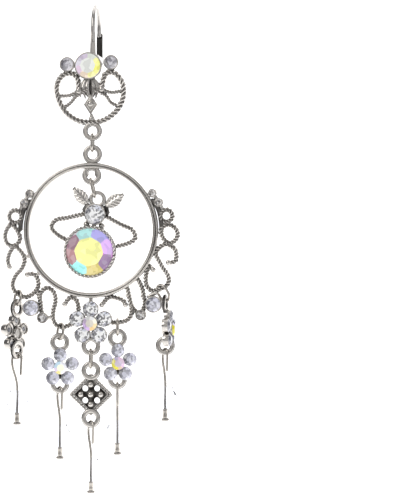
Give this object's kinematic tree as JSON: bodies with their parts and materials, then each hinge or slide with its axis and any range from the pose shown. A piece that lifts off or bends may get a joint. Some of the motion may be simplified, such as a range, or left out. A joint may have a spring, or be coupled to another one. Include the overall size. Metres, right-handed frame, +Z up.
{
  "type": "chandelier earring",
  "caption": "Leverback chandelier earring with a rope heart, a pierced hoop, an inner pendant and small bead drops.",
  "frame": {"origin": "where the ear wire passes the lobe: in its middle plane, level with the inside of the arch's top", "axes": "+Z up along the hanging earring, -Y towards the viewer, +X to the right"},
  "size_m": [0.0359, 0.0154, 0.0987],
  "materials": {
    "ear_hook_metal": "antiqued silver, dark in the recesses",
    "top_ornament_metal": "antiqued silver, dark in the recesses",
    "stone_top_centre_crystal": "iridescent faceted",
    "stone_top_left_crystal": "grey faceted",
    "stone_top_right_crystal": "grey faceted",
    "lever_metal": "antiqued silver, dark in the recesses",
    "upper_link_metal": "antiqued silver, dark in the recesses",
    "hoop_metal": "antiqued silver, dark in the recesses",
    "stone_hoop_left_crystal": "grey faceted",
    "stone_hoop_right_crystal": "grey faceted",
    "bead_cup_left_crystal": "grey faceted",
    "bead_cup_right_crystal": "grey faceted",
    "stone_flower_centre_crystal": "iridescent faceted",
    "stone_prong_left_high_crystal": "grey faceted",
    "stone_prong_left_low_crystal": "grey faceted",
    "stone_prong_right_high_crystal": "grey faceted",
    "stone_prong_right_low_crystal": "grey faceted",
    "stone_petal_1_crystal": "clear faceted",
    "stone_petal_2_crystal": "clear faceted",
    "stone_petal_3_crystal": "clear faceted",
    "stone_petal_4_crystal": "clear faceted",
    "stone_petal_5_crystal": "clear faceted",
    "link_outer_left_metal": "antiqued silver, dark in the recesses",
    "flower_outer_left_metal": "antiqued silver, dark in the recesses",
    "stone_flower_outer_left_crystal": "iridescent faceted",
    "headpin_outer_left_metal": "antiqued silver, dark in the recesses",
    "tube_outer_left_metal": "antiqued silver, dark in the recesses",
    "bead_outer_left_crystal": "clear faceted",
    "link_inner_left_metal": "antiqued silver, dark in the recesses",
    "flower_inner_left_metal": "antiqued silver, dark in the recesses",
    "stone_flower_inner_left_crystal": "iridescent faceted",
    "headpin_inner_left_metal": "antiqued silver, dark in the recesses",
    "tube_inner_left_metal": "antiqued silver, dark in the recesses",
    "bead_inner_left_crystal": "clear faceted",
    "link_centre_metal": "antiqued silver, dark in the recesses",
    "diamond_centre_metal": "antiqued silver, dark in the recesses",
    "headpin_centre_metal": "antiqued silver, dark in the recesses",
    "tube_centre_metal": "antiqued silver, dark in the recesses",
    "bead_centre_crystal": "clear faceted",
    "link_inner_right_metal": "antiqued silver, dark in the recesses",
    "flower_inner_right_metal": "antiqued silver, dark in the recesses",
    "stone_flower_inner_right_crystal": "iridescent faceted",
    "headpin_inner_right_metal": "antiqued silver, dark in the recesses",
    "tube_inner_right_metal": "antiqued silver, dark in the recesses",
    "bead_inner_right_crystal": "clear faceted",
    "link_outer_right_metal": "antiqued silver, dark in the recesses",
    "flower_outer_right_metal": "antiqued silver, dark in the recesses",
    "stone_flower_outer_right_crystal": "iridescent faceted",
    "headpin_outer_right_metal": "antiqued silver, dark in the recesses",
    "tube_outer_right_metal": "antiqued silver, dark in the recesses",
    "bead_outer_right_crystal": "clear faceted",
    "inner_link_metal": "antiqued silver, dark in the recesses",
    "pendant_frame_metal": "antiqued silver, dark in the recesses",
    "stone_pendant_small_crystal": "clear faceted",
    "stone_pendant_large_crystal": "iridescent faceted"
  },
  "bodies": {
    "top": {"ear_hook": "ear_hook_metal", "top_ornament": "top_ornament_metal", "stone_top_centre": "stone_top_centre_crystal", "stone_top_left": "stone_top_left_crystal", "stone_top_right": "stone_top_right_crystal"},
    "lever": {"lever": "lever_metal"},
    "upper_link": {"upper_link": "upper_link_metal"},
    "hoop": {"hoop": "hoop_metal", "stone_hoop_left": "stone_hoop_left_crystal", "stone_hoop_right": "stone_hoop_right_crystal", "bead_cup_left": "bead_cup_left_crystal", "bead_cup_right": "bead_cup_right_crystal", "stone_flower_centre": "stone_flower_centre_crystal", "stone_prong_left_high": "stone_prong_left_high_crystal", "stone_prong_left_low": "stone_prong_left_low_crystal", "stone_prong_right_high": "stone_prong_right_high_crystal", "stone_prong_right_low": "stone_prong_right_low_crystal", "stone_petal_1": "stone_petal_1_crystal", "stone_petal_2": "stone_petal_2_crystal", "stone_petal_3": "stone_petal_3_crystal", "stone_petal_4": "stone_petal_4_crystal", "stone_petal_5": "stone_petal_5_crystal", "link_outer_left": "link_outer_left_metal", "flower_outer_left": "flower_outer_left_metal", "stone_flower_outer_left": "stone_flower_outer_left_crystal", "headpin_outer_left": "headpin_outer_left_metal", "tube_outer_left": "tube_outer_left_metal", "bead_outer_left": "bead_outer_left_crystal", "link_inner_left": "link_inner_left_metal", "flower_inner_left": "flower_inner_left_metal", "stone_flower_inner_left": "stone_flower_inner_left_crystal", "headpin_inner_left": "headpin_inner_left_metal", "tube_inner_left": "tube_inner_left_metal", "bead_inner_left": "bead_inner_left_crystal", "link_centre": "link_centre_metal", "diamond_centre": "diamond_centre_metal", "headpin_centre": "headpin_centre_metal", "tube_centre": "tube_centre_metal", "bead_centre": "bead_centre_crystal", "link_inner_right": "link_inner_right_metal", "flower_inner_right": "flower_inner_right_metal", "stone_flower_inner_right": "stone_flower_inner_right_crystal", "headpin_inner_right": "headpin_inner_right_metal", "tube_inner_right": "tube_inner_right_metal", "bead_inner_right": "bead_inner_right_crystal", "link_outer_right": "link_outer_right_metal", "flower_outer_right": "flower_outer_right_metal", "stone_flower_outer_right": "stone_flower_outer_right_crystal", "headpin_outer_right": "headpin_outer_right_metal", "tube_outer_right": "tube_outer_right_metal", "bead_outer_right": "bead_outer_right_crystal"},
    "inner_link": {"inner_link": "inner_link_metal"},
    "pendant": {"pendant_frame": "pendant_frame_metal", "stone_pendant_small": "stone_pendant_small_crystal", "stone_pendant_large": "stone_pendant_large_crystal"}
  },
  "joints": [
    {"name": "lever_hinge", "type": "hinge", "parent": "top", "child": "lever", "pos_m": [0, 0.00537, -0.0103], "axis": [-1, 0, 0], "range_deg": [0, 70], "stiffness_Nm_per_rad": 0.00002, "springref_deg": -17.19},
    {"name": "upper_link_swing", "type": "hinge", "parent": "top", "child": "upper_link", "pos_m": [0.00002, -0.00545, -0.02583], "axis": [0, 1, 0], "range_deg": [-12, 12]},
    {"name": "hoop_swing", "type": "hinge", "parent": "upper_link", "child": "hoop", "pos_m": [0.00002, -0.00545, -0.02844], "axis": [1, 0, 0], "range_deg": [-40, 40]},
    {"name": "inner_link_swing", "type": "hinge", "parent": "hoop", "child": "inner_link", "pos_m": [-0.00033, -0.00545, -0.03473], "axis": [0, 1, 0], "range_deg": [-12, 12]},
    {"name": "pendant_swing", "type": "hinge", "parent": "inner_link", "child": "pendant", "pos_m": [0.00036, -0.00545, -0.03776], "axis": [1, 0, 0], "range_deg": [-35, 35]}
  ]
}
